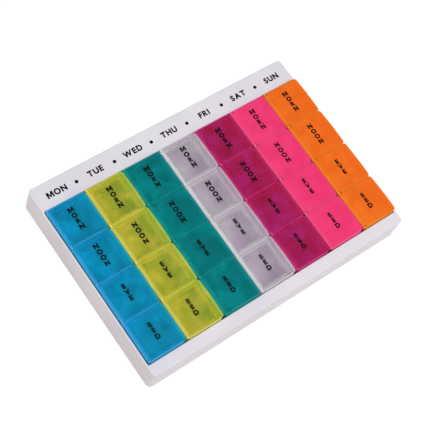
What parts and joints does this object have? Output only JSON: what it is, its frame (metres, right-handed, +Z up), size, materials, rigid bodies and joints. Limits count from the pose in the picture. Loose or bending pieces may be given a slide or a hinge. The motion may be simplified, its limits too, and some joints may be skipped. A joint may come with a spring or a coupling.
{
  "type": "weekly pill organizer",
  "caption": "Moulded tray with a band of day names that holds lift-out translucent day boxes, each a row of compartments under pin-hinged lids.",
  "frame": {"origin": "centre of the tray's underside, on the surface it stands on", "axes": "+X along the week from the Monday box, +Y towards the band of day names, +Z up"},
  "size_m": [0.202, 0.1412, 0.023],
  "materials": {
    "tray_white": "fine moulded satin, off-white styrene",
    "mon_blue": "translucent moulded blue plastic, glossy",
    "tue_yellow": "translucent moulded yellow plastic, glossy",
    "wed_teal": "translucent moulded teal plastic, glossy",
    "thu_clear": "translucent moulded clear plastic, glossy",
    "fri_magenta": "translucent moulded magenta plastic, glossy",
    "sat_pink": "translucent moulded pink plastic, glossy",
    "sun_orange": "translucent moulded orange plastic, glossy"
  },
  "bodies": {
    "tray": {"tray": "tray_white"},
    "mon_box": {"mon_box": "mon_blue"},
    "mon_morn_lid": {"mon_morn_lid": "mon_blue"},
    "mon_noon_lid": {"mon_noon_lid": "mon_blue"},
    "mon_eve_lid": {"mon_eve_lid": "mon_blue"},
    "mon_bed_lid": {"mon_bed_lid": "mon_blue"},
    "tue_box": {"tue_box": "tue_yellow"},
    "tue_morn_lid": {"tue_morn_lid": "tue_yellow"},
    "tue_noon_lid": {"tue_noon_lid": "tue_yellow"},
    "tue_eve_lid": {"tue_eve_lid": "tue_yellow"},
    "tue_bed_lid": {"tue_bed_lid": "tue_yellow"},
    "wed_box": {"wed_box": "wed_teal"},
    "wed_morn_lid": {"wed_morn_lid": "wed_teal"},
    "wed_noon_lid": {"wed_noon_lid": "wed_teal"},
    "wed_eve_lid": {"wed_eve_lid": "wed_teal"},
    "wed_bed_lid": {"wed_bed_lid": "wed_teal"},
    "thu_box": {"thu_box": "thu_clear"},
    "thu_morn_lid": {"thu_morn_lid": "thu_clear"},
    "thu_noon_lid": {"thu_noon_lid": "thu_clear"},
    "thu_eve_lid": {"thu_eve_lid": "thu_clear"},
    "thu_bed_lid": {"thu_bed_lid": "thu_clear"},
    "fri_box": {"fri_box": "fri_magenta"},
    "fri_morn_lid": {"fri_morn_lid": "fri_magenta"},
    "fri_noon_lid": {"fri_noon_lid": "fri_magenta"},
    "fri_eve_lid": {"fri_eve_lid": "fri_magenta"},
    "fri_bed_lid": {"fri_bed_lid": "fri_magenta"},
    "sat_box": {"sat_box": "sat_pink"},
    "sat_morn_lid": {"sat_morn_lid": "sat_pink"},
    "sat_noon_lid": {"sat_noon_lid": "sat_pink"},
    "sat_eve_lid": {"sat_eve_lid": "sat_pink"},
    "sat_bed_lid": {"sat_bed_lid": "sat_pink"},
    "sun_box": {"sun_box": "sun_orange"},
    "sun_morn_lid": {"sun_morn_lid": "sun_orange"},
    "sun_noon_lid": {"sun_noon_lid": "sun_orange"},
    "sun_eve_lid": {"sun_eve_lid": "sun_orange"},
    "sun_bed_lid": {"sun_bed_lid": "sun_orange"}
  },
  "joints": [
    {"name": "mon_lift", "type": "slide", "parent": "tray", "child": "mon_box", "axis": [0, 0, 1], "range_m": [0, 0.03]},
    {"name": "tue_lift", "type": "slide", "parent": "tray", "child": "tue_box", "axis": [0, 0, 1], "range_m": [0, 0.03]},
    {"name": "wed_lift", "type": "slide", "parent": "tray", "child": "wed_box", "axis": [0, 0, 1], "range_m": [0, 0.03]},
    {"name": "thu_lift", "type": "slide", "parent": "tray", "child": "thu_box", "axis": [0, 0, 1], "range_m": [0, 0.03]},
    {"name": "fri_lift", "type": "slide", "parent": "tray", "child": "fri_box", "axis": [0, 0, 1], "range_m": [0, 0.03]},
    {"name": "sat_lift", "type": "slide", "parent": "tray", "child": "sat_box", "axis": [0, 0, 1], "range_m": [0, 0.03]},
    {"name": "sun_lift", "type": "slide", "parent": "tray", "child": "sun_box", "axis": [0, 0, 1], "range_m": [0, 0.03]},
    {"name": "mon_morn_hinge", "type": "hinge", "parent": "mon_box", "child": "mon_morn_lid", "pos_m": [-0.09767, 0.03779, 0.022], "axis": [0, -1, 0], "range_deg": [0, 95]},
    {"name": "mon_noon_hinge", "type": "hinge", "parent": "mon_box", "child": "mon_noon_lid", "pos_m": [-0.09767, 0.00953, 0.022], "axis": [0, -1, 0], "range_deg": [0, 95]},
    {"name": "mon_eve_hinge", "type": "hinge", "parent": "mon_box", "child": "mon_eve_lid", "pos_m": [-0.09767, -0.01873, 0.022], "axis": [0, -1, 0], "range_deg": [0, 95]},
    {"name": "mon_bed_hinge", "type": "hinge", "parent": "mon_box", "child": "mon_bed_lid", "pos_m": [-0.09767, -0.04699, 0.022], "axis": [0, -1, 0], "range_deg": [0, 95]},
    {"name": "tue_morn_hinge", "type": "hinge", "parent": "tue_box", "child": "tue_morn_lid", "pos_m": [-0.06918, 0.03779, 0.022], "axis": [0, -1, 0], "range_deg": [0, 95]},
    {"name": "tue_noon_hinge", "type": "hinge", "parent": "tue_box", "child": "tue_noon_lid", "pos_m": [-0.06918, 0.00953, 0.022], "axis": [0, -1, 0], "range_deg": [0, 95]},
    {"name": "tue_eve_hinge", "type": "hinge", "parent": "tue_box", "child": "tue_eve_lid", "pos_m": [-0.06918, -0.01873, 0.022], "axis": [0, -1, 0], "range_deg": [0, 95]},
    {"name": "tue_bed_hinge", "type": "hinge", "parent": "tue_box", "child": "tue_bed_lid", "pos_m": [-0.06918, -0.04699, 0.022], "axis": [0, -1, 0], "range_deg": [0, 95]},
    {"name": "wed_morn_hinge", "type": "hinge", "parent": "wed_box", "child": "wed_morn_lid", "pos_m": [-0.04068, 0.03779, 0.022], "axis": [0, -1, 0], "range_deg": [0, 95]},
    {"name": "wed_noon_hinge", "type": "hinge", "parent": "wed_box", "child": "wed_noon_lid", "pos_m": [-0.04068, 0.00953, 0.022], "axis": [0, -1, 0], "range_deg": [0, 95]},
    {"name": "wed_eve_hinge", "type": "hinge", "parent": "wed_box", "child": "wed_eve_lid", "pos_m": [-0.04068, -0.01873, 0.022], "axis": [0, -1, 0], "range_deg": [0, 95]},
    {"name": "wed_bed_hinge", "type": "hinge", "parent": "wed_box", "child": "wed_bed_lid", "pos_m": [-0.04068, -0.04699, 0.022], "axis": [0, -1, 0], "range_deg": [0, 95]},
    {"name": "thu_morn_hinge", "type": "hinge", "parent": "thu_box", "child": "thu_morn_lid", "pos_m": [-0.01218, 0.03779, 0.022], "axis": [0, -1, 0], "range_deg": [0, 95]},
    {"name": "thu_noon_hinge", "type": "hinge", "parent": "thu_box", "child": "thu_noon_lid", "pos_m": [-0.01218, 0.00953, 0.022], "axis": [0, -1, 0], "range_deg": [0, 95]},
    {"name": "thu_eve_hinge", "type": "hinge", "parent": "thu_box", "child": "thu_eve_lid", "pos_m": [-0.01218, -0.01873, 0.022], "axis": [0, -1, 0], "range_deg": [0, 95]},
    {"name": "thu_bed_hinge", "type": "hinge", "parent": "thu_box", "child": "thu_bed_lid", "pos_m": [-0.01218, -0.04699, 0.022], "axis": [0, -1, 0], "range_deg": [0, 95]},
    {"name": "fri_morn_hinge", "type": "hinge", "parent": "fri_box", "child": "fri_morn_lid", "pos_m": [0.01632, 0.03779, 0.022], "axis": [0, -1, 0], "range_deg": [0, 95]},
    {"name": "fri_noon_hinge", "type": "hinge", "parent": "fri_box", "child": "fri_noon_lid", "pos_m": [0.01632, 0.00953, 0.022], "axis": [0, -1, 0], "range_deg": [0, 95]},
    {"name": "fri_eve_hinge", "type": "hinge", "parent": "fri_box", "child": "fri_eve_lid", "pos_m": [0.01632, -0.01873, 0.022], "axis": [0, -1, 0], "range_deg": [0, 95]},
    {"name": "fri_bed_hinge", "type": "hinge", "parent": "fri_box", "child": "fri_bed_lid", "pos_m": [0.01632, -0.04699, 0.022], "axis": [0, -1, 0], "range_deg": [0, 95]},
    {"name": "sat_morn_hinge", "type": "hinge", "parent": "sat_box", "child": "sat_morn_lid", "pos_m": [0.04482, 0.03779, 0.022], "axis": [0, -1, 0], "range_deg": [0, 95]},
    {"name": "sat_noon_hinge", "type": "hinge", "parent": "sat_box", "child": "sat_noon_lid", "pos_m": [0.04482, 0.00953, 0.022], "axis": [0, -1, 0], "range_deg": [0, 95]},
    {"name": "sat_eve_hinge", "type": "hinge", "parent": "sat_box", "child": "sat_eve_lid", "pos_m": [0.04482, -0.01873, 0.022], "axis": [0, -1, 0], "range_deg": [0, 95]},
    {"name": "sat_bed_hinge", "type": "hinge", "parent": "sat_box", "child": "sat_bed_lid", "pos_m": [0.04482, -0.04699, 0.022], "axis": [0, -1, 0], "range_deg": [0, 95]},
    {"name": "sun_morn_hinge", "type": "hinge", "parent": "sun_box", "child": "sun_morn_lid", "pos_m": [0.07333, 0.03779, 0.022], "axis": [0, -1, 0], "range_deg": [0, 95]},
    {"name": "sun_noon_hinge", "type": "hinge", "parent": "sun_box", "child": "sun_noon_lid", "pos_m": [0.07333, 0.00953, 0.022], "axis": [0, -1, 0], "range_deg": [0, 95]},
    {"name": "sun_eve_hinge", "type": "hinge", "parent": "sun_box", "child": "sun_eve_lid", "pos_m": [0.07333, -0.01873, 0.022], "axis": [0, -1, 0], "range_deg": [0, 95]},
    {"name": "sun_bed_hinge", "type": "hinge", "parent": "sun_box", "child": "sun_bed_lid", "pos_m": [0.07333, -0.04699, 0.022], "axis": [0, -1, 0], "range_deg": [0, 95]}
  ]
}
